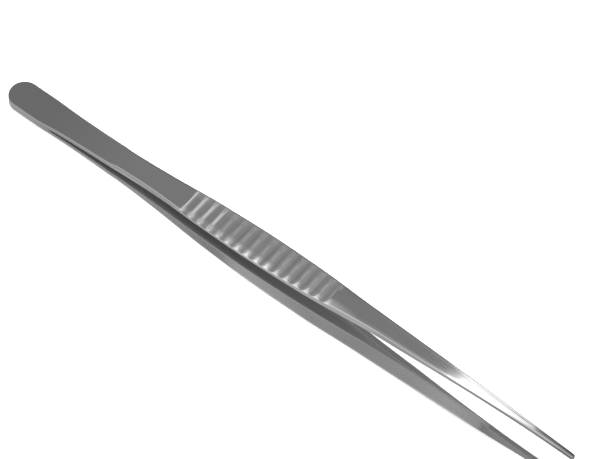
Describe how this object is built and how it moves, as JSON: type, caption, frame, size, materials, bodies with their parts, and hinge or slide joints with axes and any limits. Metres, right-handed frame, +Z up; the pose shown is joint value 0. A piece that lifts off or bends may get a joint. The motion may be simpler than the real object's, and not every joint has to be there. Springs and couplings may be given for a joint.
{
  "type": "thumb forceps",
  "caption": "Thumb forceps with two sprung steel blades joined at a rounded heel, hollow flutes across the thumb grips and fine serrated jaws.",
  "frame": {"origin": "on the ground, under the middle of the forceps' length and width as it lies on the fluted grip of the lower blade", "axes": "+X from the heel to the tips, +Z up from the ground, +Y to the left of the forceps seen from the heel"},
  "size_m": [0.2001, 0.0108, 0.0196],
  "materials": {
    "blade_steel": "satin"
  },
  "bodies": {
    "root": {"upper_blade": "blade_steel", "lower_blade": "blade_steel"}
  },
  "joints": []
}
